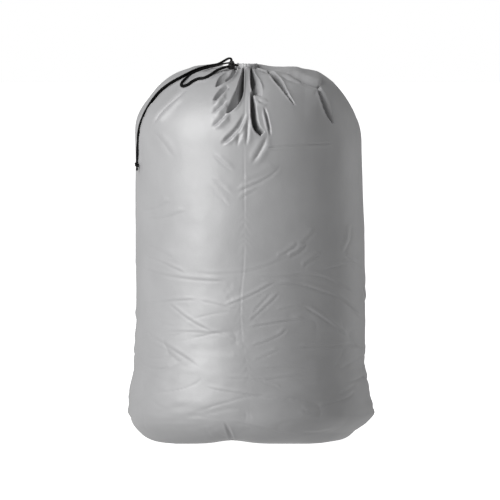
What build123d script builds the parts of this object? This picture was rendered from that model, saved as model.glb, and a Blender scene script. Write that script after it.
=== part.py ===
import math
import os

from build123d import *

# Large drawstring stuff sack, standing upright on its closed bottom, drawn shut.
# Units are millimetres. +Z is up, -Y is the front, +X is to the right as seen from the front.
# The origin is the middle of the footprint, on the surface the sack stands on.

os.makedirs("parts", exist_ok=True)

# ---- driving dimensions -------------------------------------------------------------
# sack shell: one meridian, turned about Z and then narrowed front to back
wall = 2.0                      # thickness given to the cloth
depth_ratio = 0.9               # depth over width
base_radius = 185.0             # flat part of the bottom
base_trim = 0.5                 # cut level, so that the sack rests on a true plane
inner_floor = wall - base_trim  # height of the floor inside
bulge_radius = 244.0            # widest point, just above the bottom
bulge_height = 75.0
side_radius = 229.0             # the straight side
side_start = 230.0              # heights between which the side is straight
side_end = 600.0
shoulder_width = 164.0          # half axes of the rounded shoulder
shoulder_height = 145.0
top_height = side_end + shoulder_height

# gathered neck: the hem tunnel drawn up into a ring, a little forward of the middle
neck_x, neck_y = -6.0, -60.0
casing_outer = 26.0
casing_inner = 11.0
casing_bottom = 735.0
casing_top = 758.5
casing_round = 2.5
tunnel_radius = 18.5            # centre line of the cord tunnel
tunnel_bore = 2.1
tunnel_z = 752.5
exit_angle = math.radians(209.4)   # where the cord leaves the tunnel, seen from above
exit_width = 7.6
exit_height = 6.0
exit_z = 753.2
exit_room_width = 15.0          # wider pocket where the two ends part inside the tunnel
exit_room_radii = (16.4, 23.4)
exit_edge_width = 1.2           # worked thread edge round the exit
exit_edge_proud = 0.9
exit_edge_height = exit_height + 1.4

# seams, turned to the inside
seam_x = -10.0                  # the side seam faces front, just left of the middle
seam_width = 12.0
seam_thickness = 1.2
seam_bottom, seam_top = 14.0, 728.0
bottom_seam_length = 350.0
bottom_seam_height = 10.0
thread_width = 1.0
thread_height = 0.5
casing_thread_z = 748.0

# drawcord
cord_diameter = 3.0
pair_half_gap = 1.65            # half the distance between the two strands at the lock

# cord lock: origin in the middle of its cross hole
lock_centre = Vector(-36.5, -77.2, 751.7)
cord_direction = Vector(-0.851, -0.4856, -0.2002)   # the way the pair leaves the lock
lock_axis = Vector(0.0945, -0.5166, 0.851)          # towards the button
barrel_radius = 6.75
barrel_below = 6.4              # from the cross hole down to the barrel's end
barrel_above = 4.6
barrel_floor = 0.9
barrel_bore = 4.5
barrel_edge = 0.8
hole_width = 7.2
hole_height = 3.6
plunger_radius = 4.3
plunger_bottom = -2.4           # along the lock's axis, from the cross hole
plunger_top = 9.6
plunger_slot = (-1.6, 3.6)
plunger_edge = 1.0
spring_wire = 0.45
spring_radius = 3.4
spring_pitch = 1.1
spring_gap = 0.03

# knot that ties the two tails together
knot_x, knot_y, knot_top = -225.3, -58.0, 560.0
knot_outline = [(3.6, 0.0), (4.6, -3.5), (4.4, -8.0), (3.3, -12.0)]
knot_end_length = 5.0


# ---- helpers ------------------------------------------------------------------------
def sack_section(inset):
    """Half of the sack's meridian, moved inwards by inset, closed along the Z axis."""
    with BuildSketch(Plane.XZ) as section:
        with BuildLine():
            bottom = Line((0, inset - base_trim), (base_radius, inset - base_trim))
            heel = TangentArc(bottom @ 1, (bulge_radius - inset, bulge_height), tangent=(1, 0))
            flank = Spline(heel @ 1, (side_radius - inset, side_start), tangents=(heel % 1, (0, 1)))
            side = Line(flank @ 1, (side_radius - inset, side_end))
            shoulder = EllipticalCenterArc(
                (side_radius - shoulder_width, side_end),
                shoulder_width - inset, shoulder_height - inset, start_angle=0, arc_size=90,
            )
            top = Line(shoulder @ 1, (0, top_height - inset))
            Line(top @ 1, bottom @ 0)
        make_face()
    return section.sketch


def corner_radii(points):
    """Largest arc for each corner that leaves a straight bit in both runs beside it."""
    radii = []
    for before, corner, after in zip(points, points[1:], points[2:]):
        run_in = Vector(*corner) - Vector(*before)
        run_out = Vector(*after) - Vector(*corner)
        half_turn = math.radians(run_in.get_angle(run_out)) / 2
        radii.append(0.45 * min(run_in.length, run_out.length) / math.tan(half_turn))
    return radii


def cord_tube(name, points):
    """A round tube along straight runs joined by tangent arcs."""
    radii = corner_radii(points)
    with BuildPart() as tube:
        with BuildLine() as route:
            FilletPolyline(*points, radius=radii)
        line = route.wires()[0]
        with BuildSketch(Plane(origin=line @ 0, z_dir=line % 0)):
            Circle(cord_diameter / 2)
        sweep(path=line)
    expected = math.pi * cord_diameter**2 / 4 * line.length
    print(name, "length %.1f" % line.length, "volume ratio %.4f" % (tube.part.volume / expected),
          "radii", [round(r, 1) for r in radii])
    return tube


def save(builder, name):
    builder.part.label = name
    export_step(builder.part, "parts/%s.step" % name)


def neck_plane(height):
    """Plane at the neck whose x axis points out of the cord exit."""
    return Plane(origin=(neck_x, neck_y, height), x_dir=(math.cos(exit_angle), math.sin(exit_angle), 0))


# ---- sack body: a closed-bottom shell of cloth, empty inside, open at the neck --------
with BuildPart() as sack_body:
    revolve(sack_section(0), axis=Axis.Z)
    revolve(sack_section(wall), axis=Axis.Z, mode=Mode.SUBTRACT)
    scale(by=(1, depth_ratio, 1))
    with BuildSketch(Plane.XY.offset(top_height + 1)):
        with Locations((neck_x, neck_y)):
            Circle(casing_outer)
    extrude(amount=-40, mode=Mode.SUBTRACT)
    with Locations((0, 0, -base_trim)):
        Box(3 * bulge_radius, 3 * bulge_radius, 2 * base_trim, mode=Mode.SUBTRACT)
save(sack_body, "sack_body")

# ---- front seam: the turned-in edges behind the long seam, and their overlock thread --
with BuildPart() as front_seam_allowance:
    revolve(sack_section(wall), axis=Axis.Z)
    revolve(sack_section(wall + seam_thickness), axis=Axis.Z, mode=Mode.SUBTRACT)
    scale(by=(1, depth_ratio, 1))
    with Locations((seam_x, -side_radius / 2 - 60, (seam_bottom + seam_top) / 2)):
        Box(seam_width, side_radius, seam_top - seam_bottom, mode=Mode.INTERSECT)
save(front_seam_allowance, "front_seam_allowance")

with BuildPart() as front_seam_thread:
    revolve(sack_section(wall + seam_thickness), axis=Axis.Z)
    revolve(sack_section(wall + seam_thickness + thread_height), axis=Axis.Z, mode=Mode.SUBTRACT)
    scale(by=(1, depth_ratio, 1))
    with Locations(*[(seam_x + side * seam_width / 4, -side_radius / 2 - 60, (seam_bottom + seam_top) / 2)
                     for side in (-1, 1)]):
        Box(thread_width, side_radius, seam_top - seam_bottom - 6, mode=Mode.INTERSECT)
save(front_seam_thread, "front_seam_thread")

# ---- bottom seam: edges standing up inside, right across the bottom -------------------
with BuildPart() as bottom_seam_allowance:
    with Locations((0, 0, inner_floor + bottom_seam_height / 2)):
        Box(bottom_seam_length, 2 * seam_thickness, bottom_seam_height)
save(bottom_seam_allowance, "bottom_seam_allowance")

with BuildPart() as bottom_seam_thread:
    for face_side in (-1, 1):
        thread_y = face_side * (seam_thickness + thread_height / 2)
        with Locations((0, thread_y, inner_floor + 0.6 * bottom_seam_height)):
            Box(bottom_seam_length - 6, thread_height, thread_width)
save(bottom_seam_thread, "bottom_seam_thread")

# ---- drawcord casing: the hem tunnel, drawn up into a ring ----------------------------
with BuildPart() as drawcord_casing:
    with BuildSketch(Plane.XY.offset(casing_bottom)):
        with Locations((neck_x, neck_y)):
            Circle(casing_outer)
            Circle(casing_inner, mode=Mode.SUBTRACT)
    extrude(amount=casing_top - casing_bottom)
    fillet(drawcord_casing.faces().sort_by(Axis.Z)[-1].edges(), casing_round)
    with Locations((neck_x, neck_y, tunnel_z)):
        Torus(tunnel_radius, tunnel_bore, mode=Mode.SUBTRACT)
    with BuildSketch(neck_plane(exit_z - exit_height / 2)):
        with Locations((casing_outer, 0)):
            Rectangle(2 * (casing_outer - tunnel_radius), exit_width)
        with Locations((sum(exit_room_radii) / 2, 0)):
            Rectangle(exit_room_radii[1] - exit_room_radii[0], exit_room_width)
    extrude(amount=exit_height, mode=Mode.SUBTRACT)
save(drawcord_casing, "drawcord_casing")

# ---- thread ring that closes the tunnel, and the worked edge of the cord's exit -------
with BuildPart() as casing_thread:
    with BuildSketch(Plane.XY.offset(casing_thread_z - thread_width / 2)):
        with Locations((neck_x, neck_y)):
            Circle(casing_outer + thread_height)
            Circle(casing_outer, mode=Mode.SUBTRACT)
    extrude(amount=thread_width)
save(casing_thread, "casing_thread")

with BuildPart() as cord_exit_stitching:
    with BuildSketch(neck_plane(exit_z - exit_edge_height / 2)):
        Circle(casing_outer + exit_edge_proud)
        Circle(casing_outer, mode=Mode.SUBTRACT)
        with Locations((casing_outer, 0)):
            Rectangle(10, exit_width + 2 * exit_edge_width, mode=Mode.INTERSECT)
    extrude(amount=exit_edge_height)
    with BuildSketch(neck_plane(exit_z - exit_height / 2)):
        with Locations((casing_outer, 0)):
            Rectangle(10, exit_width)
    extrude(amount=exit_height, mode=Mode.SUBTRACT)
save(cord_exit_stitching, "cord_exit_stitching")

# ---- cord lock: barrel, sprung plunger with its button, spring ------------------------
lock_plane = Plane(origin=lock_centre, x_dir=cord_direction, z_dir=lock_axis)

with BuildPart() as lock_barrel:
    with BuildSketch(lock_plane.offset(-barrel_below)):
        Circle(barrel_radius)
    extrude(amount=barrel_below + barrel_above)
    fillet(lock_barrel.edges().filter_by(GeomType.CIRCLE), barrel_edge)
    with BuildSketch(lock_plane.offset(barrel_above)):
        Circle(barrel_bore)
    extrude(amount=-(barrel_above + barrel_below - barrel_floor), mode=Mode.SUBTRACT)
    with BuildSketch(lock_plane.offset(-hole_height / 2)):
        Rectangle(4 * barrel_radius, hole_width)
    extrude(amount=hole_height, mode=Mode.SUBTRACT)
save(lock_barrel, "lock_barrel")

with BuildPart() as lock_plunger:
    with BuildSketch(lock_plane.offset(plunger_bottom)):
        Circle(plunger_radius)
    extrude(amount=plunger_top - plunger_bottom)
    fillet(lock_plunger.edges().filter_by(GeomType.CIRCLE).sort_by(Axis.Z)[-1], plunger_edge)
    with BuildSketch(lock_plane.offset(plunger_slot[0])):
        Rectangle(4 * plunger_radius, hole_width)
    extrude(amount=plunger_slot[1] - plunger_slot[0], mode=Mode.SUBTRACT)
save(lock_plunger, "lock_plunger")

spring_bottom = -barrel_below + barrel_floor + spring_wire / 2 + spring_gap
spring_height = plunger_bottom - spring_wire / 2 - spring_gap - spring_bottom
with BuildPart() as lock_spring:
    with BuildLine():
        coil = Helix(
            pitch=spring_pitch, height=spring_height, radius=spring_radius,
            center=lock_centre + lock_axis * spring_bottom, direction=lock_axis,
        )
    with BuildSketch(Plane(origin=coil @ 0, z_dir=coil % 0)):
        Circle(spring_wire / 2)
    sweep(path=coil, is_frenet=True)
save(lock_spring, "lock_spring")

# ---- free tails of the drawcord ------------------------------------------------------
# The pair runs out over the front of the shoulder, folds back to the lock, turns over in a
# small upright loop and runs out again over the left shoulder, to hang down the left side.
front_tail_route = [
    (-42.0, -82.0, 749.4), (-59.9, -92.2, 745.2), (-75.3, -105.0, 734.7), (-89.6, -113.3, 725.9),
    (-102.7, -107.2, 725.3), (-113.7, -107.7, 719.9), (-123.9, -112.7, 712.1), (-134.1, -109.0, 709.0),
    (-138.7, -97.7, 712.9), (-136.1, -86.0, 719.6), (-128.7, -75.8, 727.0), (-119.1, -66.7, 733.9),
    (-107.2, -57.2, 739.8), (-92.1, -49.4, 745.1), (-74.9, -46.8, 749.2), (-59.1, -52.5, 753.3),
    (-47.6, -59.0, 756.6), (-38.6, -64.3, 757.2), (-35.3, -66.1, 762.4), (-38.3, -63.9, 767.6),
    (-44.9, -58.5, 766.5), (-53.1, -51.0, 761.5), (-63.2, -43.0, 755.4), (-77.7, -36.8, 750.3),
    (-94.5, -37.4, 746.1), (-111.0, -45.2, 740.5), (-124.8, -54.0, 733.5), (-137.9, -58.9, 726.7),
    (-150.6, -59.2, 720.3), (-163.0, -55.9, 712.3), (-175.8, -54.4, 702.5), (-188.6, -56.6, 688.9),
    (-199.8, -59.9, 672.1), (-209.8, -61.4, 654.2), (-217.5, -61.4, 634.2), (-221.7, -59.9, 613.5),
    (-225.2, -58.0, 593.2), (-225.8, -56.2, 575.2), (-225.5, -56.4, 560.0),
]
rear_tail_route = [
    (-43.8, -79.6, 751.0), (-61.6, -89.8, 746.8), (-77.7, -102.0, 735.3), (-90.4, -109.7, 727.5),
    (-102.3, -103.8, 727.1), (-115.3, -104.3, 721.1), (-124.4, -109.0, 714.0), (-132.0, -107.4, 711.3),
    (-135.3, -98.3, 714.7), (-132.9, -88.0, 720.4), (-126.3, -78.2, 727.4), (-116.9, -69.3, 734.1),
    (-104.8, -60.8, 739.8), (-90.9, -52.6, 744.9), (-75.1, -50.2, 748.8), (-60.9, -55.5, 753.3),
    (-49.4, -62.0, 756.6), (-40.4, -67.3, 757.2), (-37.1, -69.1, 762.4), (-40.1, -66.9, 767.6),
    (-46.7, -61.5, 766.5), (-54.9, -54.0, 761.5), (-64.8, -46.0, 755.2), (-78.3, -40.2, 750.1),
    (-93.5, -40.6, 745.9), (-109.0, -48.8, 740.5), (-123.2, -57.0, 733.5), (-137.1, -62.1, 726.3),
    (-150.4, -62.4, 719.3), (-163.0, -59.1, 711.3), (-175.2, -57.6, 701.9), (-187.4, -60.4, 688.7),
    (-198.8, -63.1, 671.9), (-208.8, -64.6, 653.8), (-216.5, -64.6, 633.8), (-222.9, -63.1, 613.5),
    (-223.8, -62.0, 592.8), (-223.4, -61.8, 575.0), (-225.1, -59.6, 560.0),
]
drawcord_tail_front = cord_tube("drawcord_tail_front", front_tail_route)
save(drawcord_tail_front, "drawcord_tail_front")
drawcord_tail_rear = cord_tube("drawcord_tail_rear", rear_tail_route)
save(drawcord_tail_rear, "drawcord_tail_rear")

# ---- drawcord inside the tunnel: once round the neck, both ends out through the lock --
across = lock_plane.y_dir
ring_vertex_radius = tunnel_radius / 0.9675     # so that the filleted polygon runs on the tunnel's centre


def lead(tail_route, side):
    """One end, from where its tail begins, back through the lock and into the tunnel."""
    behind_lock = lock_centre - cord_direction * 9.5 + across * side * pair_half_gap
    corner = neck_plane(tunnel_z).from_local_coords((tunnel_radius + 0.5, side * pair_half_gap, 0))
    return [tail_route[0], tuple(behind_lock), tuple(corner)]


turn_sign = 1 if across.dot(neck_plane(0).y_dir) > 0 else -1
ring = []
for step in range(1, 12):
    angle = turn_sign * math.radians(30 * step)
    ring.append(tuple(neck_plane(tunnel_z).from_local_coords(
        (ring_vertex_radius * math.cos(angle), ring_vertex_radius * math.sin(angle), 0))))
loop_points = lead(front_tail_route, 1) + ring + lead(rear_tail_route, -1)[::-1]
drawcord_neck_loop = cord_tube("drawcord_neck_loop", loop_points)
save(drawcord_neck_loop, "drawcord_neck_loop")

# ---- knot: both tails tied together, with two short cut ends below it -----------------
with BuildPart() as tail_knot:
    with BuildSketch(Plane(origin=(knot_x, knot_y, knot_top), x_dir=(1, 0, 0), z_dir=(0, -1, 0))):
        with BuildLine():
            bulge = Spline(*knot_outline)
            Polyline(bulge @ 1, (0, knot_outline[-1][1]), (0, 0), bulge @ 0)
        make_face()
    revolve(axis=Axis((knot_x, knot_y, 0), (0, 0, 1)))
    with BuildSketch(Plane.XY.offset(knot_top + knot_outline[-1][1])):
        with Locations(*[(knot_x, knot_y + side * (cord_diameter / 2 + 0.1)) for side in (-1, 1)]):
            Circle(cord_diameter / 2)
    extrude(amount=-knot_end_length)
save(tail_knot, "tail_knot")
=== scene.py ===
import math

import bpy
import numpy as np
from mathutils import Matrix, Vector
from mathutils.kdtree import KDTree


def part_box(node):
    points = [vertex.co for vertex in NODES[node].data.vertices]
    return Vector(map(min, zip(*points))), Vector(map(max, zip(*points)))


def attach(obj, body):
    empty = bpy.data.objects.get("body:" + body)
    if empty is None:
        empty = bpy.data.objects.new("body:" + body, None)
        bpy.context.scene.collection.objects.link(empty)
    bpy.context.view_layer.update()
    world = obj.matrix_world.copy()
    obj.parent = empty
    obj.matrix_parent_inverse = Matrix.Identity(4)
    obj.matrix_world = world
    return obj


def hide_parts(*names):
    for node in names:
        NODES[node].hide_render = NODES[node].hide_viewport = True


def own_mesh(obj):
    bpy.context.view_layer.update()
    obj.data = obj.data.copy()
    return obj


# Large drawstring stuff sack, drawn shut and filled out, standing on its closed bottom.
# Shapes are worked out in millimetres and written in metres. +Z is up, -Y is the front.

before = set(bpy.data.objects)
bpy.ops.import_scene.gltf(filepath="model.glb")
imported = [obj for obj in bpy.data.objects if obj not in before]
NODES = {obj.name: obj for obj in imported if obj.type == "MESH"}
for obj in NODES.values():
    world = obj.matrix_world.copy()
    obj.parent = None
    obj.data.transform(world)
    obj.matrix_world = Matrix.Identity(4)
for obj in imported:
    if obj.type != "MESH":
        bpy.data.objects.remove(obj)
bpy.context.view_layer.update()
MM = 0.001


# ---- small helpers -------------------------------------------------------------------
def smooth(x):
    """0 below 0, 1 above 1, and an even curve between."""
    x = np.clip(x, 0.0, 1.0)
    return x * x * (3 - 2 * x)


def hump(x):
    """1 at 0, falling off evenly on both sides."""
    return np.exp(-x ** 2)


def unit(vectors):
    """The same directions at length 1."""
    return vectors / np.maximum(np.linalg.norm(vectors, axis=-1, keepdims=True), 1e-9)


def new_object(name, data):
    made = bpy.data.objects.new(name, data)
    bpy.context.collection.objects.link(made)
    return made


def make_mesh(name, points, faces, material):
    """A smooth-shaded piece of the sack from points in millimetres."""
    mesh = bpy.data.meshes.new(name)
    mesh.from_pydata((np.asarray(points) * MM).tolist(), [], faces)
    mesh.validate()
    mesh.polygons.foreach_set("use_smooth", [True] * len(mesh.polygons))
    mesh.materials.append(material)
    piece = new_object(name, mesh)
    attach(piece, "sack")
    return piece


INWARDS = -1.0


def thicken(piece, thickness, offset=0.0):
    """Gives a sheet its thickness in millimetres; offset 0 puts half on each side."""
    solid = piece.modifiers.new("thickness", "SOLIDIFY")
    solid.thickness = thickness * MM
    solid.offset = offset


def grid_faces(rows, columns, closed, start=0):
    """Quads of a grid stored row by row; closed joins the last column to the first."""
    faces = []
    for i in range(rows - 1):
        for j in range(columns if closed else columns - 1):
            k = (j + 1) % columns
            a, b = start + i * columns, start + (i + 1) * columns
            faces.append((a + j, b + j, b + k, a + k))
    return faces


def travelling_frames(path):
    """Two directions across the path at each of its points, turning as little as they can."""
    ahead = unit(np.gradient(path, axis=0))
    side = np.cross(ahead[0], (0.31, 0.17, 0.93))
    sides = []
    for direction in ahead:
        side = unit(side - direction * side.dot(direction))
        sides.append(side)
    sides = np.array(sides)
    return sides, np.cross(ahead, sides)


STRANDS = 4                     # of a cord's braid, each way round
HALF_TURN = 9.0                 # millimetres of cord in which a strand goes half way round
BRAID = 0.16                    # share of the radius that a cord's strands stand proud
THREAD_RADIUS = 0.3


def tube_points(path, radius, around, braid):
    """Rings of points round the path, with a braid's strands if it has any."""
    path = np.asarray(path, float)
    along = np.concatenate([[0], np.cumsum(np.linalg.norm(np.diff(path, axis=0), axis=1))])
    one, two = travelling_frames(path)
    turn = np.arange(around) * 2 * math.pi / around
    twist = along[:, None] * math.pi / HALF_TURN
    left, right = (np.sin(STRANDS * (turn + way * twist)) for way in (1, -1))
    r = radius * (1 + braid * (np.maximum(left, right) - 0.6) / 2)
    across = (np.cos(turn)[:, None] * one[:, None, :] + np.sin(turn)[:, None] * two[:, None, :])
    return (path[:, None, :] + r[:, :, None] * across).reshape(-1, 3)


def tube_faces(count, around, start):
    faces = grid_faces(count, around, True, start)
    faces.append(tuple(start + j for j in range(around)))
    faces.append(tuple(start + (count - 1) * around + j for j in reversed(range(around))))
    return faces


def tubes(name, paths, radius, material, around=6, braid=0.0):
    """Several tubes as one piece."""
    points, faces = [], []
    for path in paths:
        faces += tube_faces(len(path), around, len(points))
        points += tube_points(path, radius, around, braid).tolist()
    return make_mesh(name, points, faces, material)


# ---- camera --------------------------------------------------------------------------
CAMERA_DISTANCE = 15.0
CAMERA_TILT = math.radians(1.5)
VIEW_WIDTH = 1.0                # metres across the picture at the sack
AIM_HEIGHT = 0.383
SENSOR = 36.0

camera_data = bpy.data.cameras.new("camera")
camera_data.sensor_width = SENSOR
camera_data.lens = SENSOR * CAMERA_DISTANCE / VIEW_WIDTH
camera_data.clip_end = 200.0
camera = new_object("camera", camera_data)
camera.location = (0.0, -CAMERA_DISTANCE * math.cos(CAMERA_TILT),
                   AIM_HEIGHT + CAMERA_DISTANCE * math.sin(CAMERA_TILT))
camera.rotation_euler = (math.pi / 2 - CAMERA_TILT, 0.0, 0.0)
bpy.context.scene.camera = camera


# ---- materials -----------------------------------------------------------------------
def new_material(name):
    material = bpy.data.materials.new(name)
    material.use_nodes = True
    tree = material.node_tree
    return material, tree, tree.nodes["Principled BSDF"]


def feed(tree, target, inputs):
    """Sets a node's inputs: a socket is linked, and anything else is its plain value."""
    for key, value in inputs.items():
        if isinstance(value, bpy.types.NodeSocket):
            tree.links.new(value, target.inputs[key])
        else:
            target.inputs[key].default_value = value


def node(tree, kind, inputs=None, **settings):
    made = tree.nodes.new(kind)
    for key, value in settings.items():
        setattr(made, key, value)
    feed(tree, made, inputs or {})
    return made


def colour_between(tree, factor, low, high, from_low=0.0, from_high=1.0):
    ramp = node(tree, "ShaderNodeValToRGB", {"Fac": factor})
    for stop, place, colour in zip(ramp.color_ramp.elements, (from_low, from_high), (low, high)):
        stop.position = place
        stop.color = (*colour, 1)
    return ramp.outputs["Color"]


def object_coordinates(tree, scale=(1, 1, 1), turn=(0, 0, 0)):
    place = node(tree, "ShaderNodeTexCoord").outputs["Object"]
    mapping = node(tree, "ShaderNodeMapping", {"Vector": place, "Scale": scale, "Rotation": turn})
    return mapping.outputs["Vector"]


def noise(tree, place, scale, detail, **more):
    inputs = {"Vector": place, "Scale": scale, "Detail": detail, **more}
    return node(tree, "ShaderNodeTexNoise", inputs).outputs["Fac"]


def bands(tree, place, scale, direction, **more):
    wave = node(tree, "ShaderNodeTexWave", {"Vector": place, "Scale": scale, **more},
                wave_type="BANDS", bands_direction=direction)
    return wave.outputs["Fac"]


def spread(tree, value, low, high):
    """A number that runs from low to high as value runs from 0 to 1."""
    inputs = {"Value": value, "To Min": low, "To Max": high}
    return node(tree, "ShaderNodeMapRange", inputs).outputs["Result"]


def bump(tree, height, strength, distance, **more):
    inputs = {"Height": height, "Strength": strength, "Distance": distance, **more}
    return node(tree, "ShaderNodeBump", inputs).outputs["Normal"]


def nylon(name, light, roughness):
    """Coated satin nylon: a fine plain weave, faint mottling and small crumple marks."""
    material, tree, shader = new_material(name)
    place = object_coordinates(tree)
    mottle = noise(tree, place, 14.0, 4.0)
    rub = noise(tree, place, 60.0, 3.0)
    crumple = noise(tree, place, 42.0, 5.0, Roughness=0.55, Distortion=0.6)
    warp, weft = (bands(tree, place, 640.0, way) for way in ("Z", "DIAGONAL"))
    weave = node(tree, "ShaderNodeMath", {0: warp, 1: weft}, operation="MULTIPLY").outputs[0]
    fine = bump(tree, weave, 0.05, 0.0002)
    shade = tuple(0.93 * c for c in light)
    feed(tree, shader, {
        "Base Color": colour_between(tree, mottle, shade, light, 0.35, 0.65),
        "Roughness": spread(tree, rub, roughness - 0.04, roughness + 0.05),
        "Normal": bump(tree, crumple, 0.10, 0.004, Normal=fine),
        "Sheen Weight": 0.15, "Sheen Roughness": 0.5, "Specular IOR Level": 1.0})
    return material


def thread_like(name, dark, light, roughness, scale, specular=0.5):
    """Twisted or braided yarn."""
    material, tree, shader = new_material(name)
    place = object_coordinates(tree, turn=(0.5, 0.4, 0.3))
    twist = bands(tree, place, scale, "DIAGONAL", Distortion=1.2, Detail=2.0)
    feed(tree, shader, {
        "Base Color": colour_between(tree, twist, dark, light), "Roughness": roughness,
        "Normal": bump(tree, twist, 0.35, 0.0003), "Specular IOR Level": specular})
    return material


def moulded_plastic(name):
    material, tree, shader = new_material(name)
    grain = noise(tree, object_coordinates(tree), 900.0, 3.0)
    feed(tree, shader, {
        "Base Color": colour_between(tree, grain, (0.005,) * 3, (0.010,) * 3),
        "Roughness": spread(tree, grain, 0.32, 0.44),
        "Normal": bump(tree, grain, 0.08, 0.0002), "Specular IOR Level": 0.35})
    return material


def spring_wire(name):
    material, tree, shader = new_material(name)
    streak = noise(tree, object_coordinates(tree, (1, 1, 8)), 700.0, 2.0)
    feed(tree, shader, {
        "Base Color": colour_between(tree, streak, (0.42, 0.42, 0.43), (0.62, 0.62, 0.63)),
        "Roughness": spread(tree, streak, 0.22, 0.4), "Metallic": 1.0})
    return material


NYLON = nylon("grey_nylon", (0.32, 0.32, 0.325), 0.48)
CORD = thread_like("black_cord", (0.0015,) * 3, (0.006,) * 3, 0.7, 420.0, specular=0.12)
THREAD = thread_like("grey_thread", (0.42, 0.42, 0.43), (0.56, 0.56, 0.57), 0.6, 900.0)
PLASTIC = moulded_plastic("black_plastic")
STEEL = spring_wire("spring_steel")

for names, material in ((("lock_barrel", "lock_plunger"), PLASTIC), (("lock_spring",), STEEL),
                        (("drawcord_neck_loop",), CORD)):
    for name in names:
        NODES[name].data.materials.clear()
        NODES[name].data.materials.append(material)


# ---- cord lock, shown as the CAD has it, with the spring on a mesh of its own ----------
LOCK_CENTRE = np.array((-36.5, -77.2, 751.7))       # the middle of its cross hole, in millimetres
LOCK_AXIS = np.array((0.0945, -0.5166, 0.851))      # towards the button
LOCK_WAY = np.array((-0.851, -0.4856, -0.2002))     # the way it slides along the cords
LOCK_TRAVEL = 8.5
LOCK_BELOW, LOCK_RADIUS = 6.4, 6.75
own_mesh(NODES["lock_spring"])


# ---- drawcord tails ------------------------------------------------------------------
CORD_DIAMETER = 3.0
SHOWN_RADIUS = 1.06 * CORD_DIAMETER / 2         # the braid's hollows make up for the rest
# The pair leaves the lock, runs out over the front of the shoulder, folds back to the lock,
# turns over in a small upright loop and hangs over the left shoulder. Millimetres.
FRONT_TAIL = [
    (-42.0, -82.0, 749.4), (-59.9, -92.2, 745.2), (-75.3, -105.0, 734.7), (-89.6, -113.3, 725.9),
    (-102.7, -107.2, 725.3), (-113.7, -107.7, 719.9), (-123.9, -112.7, 712.1), (-134.1, -109.0, 709.0),
    (-138.7, -97.7, 712.9), (-136.1, -86.0, 719.6), (-128.7, -75.8, 727.0), (-119.1, -66.7, 733.9),
    (-107.2, -57.2, 739.8), (-92.1, -49.4, 745.1), (-74.9, -46.8, 749.2), (-59.1, -52.5, 753.3),
    (-47.6, -59.0, 756.6), (-38.6, -64.3, 757.2), (-35.3, -66.1, 762.4), (-38.3, -63.9, 767.6),
    (-44.9, -58.5, 764.5), (-53.1, -50.0, 759.0), (-63.2, -43.0, 754.6), (-77.7, -36.8, 750.3),
    (-94.5, -37.4, 746.1), (-111.0, -45.2, 740.5), (-124.8, -54.0, 733.5), (-137.9, -58.9, 726.7),
    (-150.6, -59.2, 720.3), (-163.0, -55.9, 712.3), (-175.8, -54.4, 702.5), (-188.6, -56.6, 688.9),
    (-199.8, -59.9, 672.1), (-209.8, -61.4, 654.2), (-217.5, -61.4, 634.2), (-221.7, -59.9, 613.5),
    (-225.2, -58.0, 593.2), (-225.8, -56.2, 575.2), (-225.5, -56.4, 560.0),
]
REAR_TAIL = [
    (-43.8, -79.6, 751.0), (-61.6, -89.8, 746.8), (-77.7, -102.0, 735.3), (-90.4, -109.7, 727.5),
    (-102.3, -103.8, 727.1), (-115.3, -104.3, 721.1), (-124.4, -109.0, 714.0), (-132.0, -107.4, 711.3),
    (-135.3, -98.3, 714.7), (-132.9, -88.0, 720.4), (-126.3, -78.2, 727.4), (-116.9, -69.3, 734.1),
    (-104.8, -60.8, 739.8), (-90.9, -52.6, 744.9), (-75.1, -50.2, 748.8), (-60.9, -55.5, 753.3),
    (-49.4, -62.0, 756.6), (-40.4, -67.3, 757.2), (-37.1, -69.1, 762.4), (-40.1, -66.9, 767.6),
    (-46.7, -61.5, 765.3), (-54.9, -53.5, 760.2), (-64.8, -46.0, 755.0), (-78.3, -40.2, 750.1),
    (-93.5, -40.6, 745.9), (-109.0, -48.8, 740.5), (-123.2, -57.0, 733.5), (-137.1, -62.1, 726.3),
    (-150.4, -62.4, 719.3), (-163.0, -59.1, 711.3), (-175.2, -57.6, 701.9), (-187.4, -60.4, 688.7),
    (-198.8, -63.1, 671.9), (-208.8, -64.6, 653.8), (-216.5, -64.6, 633.8), (-222.9, -63.1, 613.5),
    (-223.8, -62.0, 592.8), (-223.4, -61.8, 575.0), (-225.1, -59.6, 560.0),
]
FRONT_TAIL_LENGTH = 0.5926
REAR_TAIL_LENGTH = 0.5756


def cord_line(name, route):
    """Points in millimetres along the smooth spline that the route controls."""
    curve = bpy.data.curves.new(name, "CURVE")
    curve.dimensions = "3D"
    spline = curve.splines.new("NURBS")
    spline.points.add(len(route) - 1)
    for point, place in zip(spline.points, route):
        point.co = (*(c * MM for c in place), 1.0)
    spline.order_u = 3
    spline.use_endpoint_u = True
    spline.resolution_u = 14
    holder = new_object(name, curve)
    mesh = bpy.data.meshes.new_from_object(holder)
    line = np.array([v.co[:] for v in mesh.vertices]) / MM
    bpy.data.objects.remove(holder)
    return line


def lay_beside(front_route, rear_route, gap=3.4, ease=3):
    """The rear strand's route, moved so that it nests against the front strand on the cloth."""
    front_route, rear_route = np.array(front_route), np.array(rear_route)
    run = unit(np.gradient(front_route, axis=0))
    outward = (front_route - (0, 0, SHOULDER_BASE)) / (1, 0.8, 0.7)
    outward = unit(outward - run * (outward * run).sum(axis=1)[:, None])
    place = np.arange(len(front_route))
    way = np.where(place < sum(UPRIGHT_LOOP) / 2, -1.0, 1.0)
    across = np.cross(outward, run) * way[:, None] + outward * np.where(way > 0, 3.0, 0.4)[:, None]
    across = gap * unit(across)
    weight = smooth((place - 1) / ease) * smooth((len(place) - 3 - place) / 1.5)
    weight *= np.where((place > UPRIGHT_LOOP[0]) & (place < UPRIGHT_LOOP[1]), 0.0, 1.0)
    return rear_route + (front_route + across - rear_route) * weight[:, None]


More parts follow.
